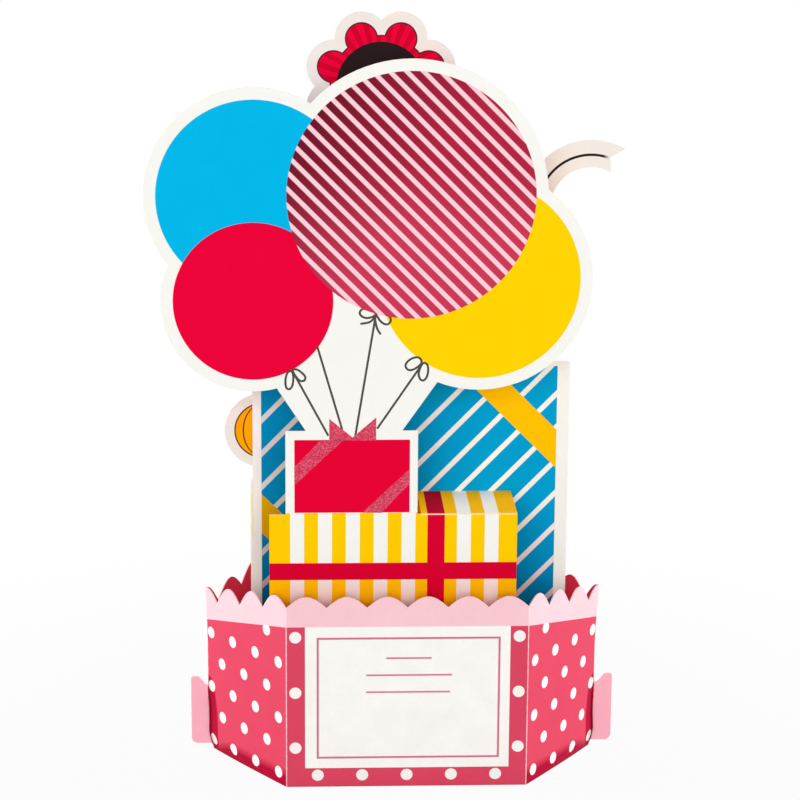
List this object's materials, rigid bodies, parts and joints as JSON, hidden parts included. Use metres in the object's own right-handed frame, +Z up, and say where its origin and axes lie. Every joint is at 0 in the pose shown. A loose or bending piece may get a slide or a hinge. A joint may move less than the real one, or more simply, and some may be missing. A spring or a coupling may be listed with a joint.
{
  "type": "pop up card",
  "caption": "Pop up gift card opened to stand: scalloped hexagonal sleeve, layered die-cut gifts and balloons, locking brace.",
  "frame": {"origin": "on the table, midway between the outermost points left and right, in the card's centre plane", "axes": "+Z up, the message side faces -Y, +X to the right seen from the message side"},
  "size_m": [0.1576, 0.0728, 0.2535],
  "materials": {
    "sleeve_card": "satin",
    "brace_card": "matte",
    "printed_card": "satin",
    "blue_card": "satin",
    "plain_card": "matte"
  },
  "bodies": {
    "root": {"base_sleeve": "sleeve_card", "lock_brace": "brace_card", "blue_gift_sheet": "blue_card", "front_gift_sheet": "printed_card", "party_backdrop": "printed_card", "front_spacer_left": "plain_card", "front_spacer_right": "plain_card", "middle_spacer_left": "plain_card", "middle_spacer_right": "plain_card", "back_spacer_left": "plain_card", "back_spacer_right": "plain_card"}
  },
  "joints": []
}
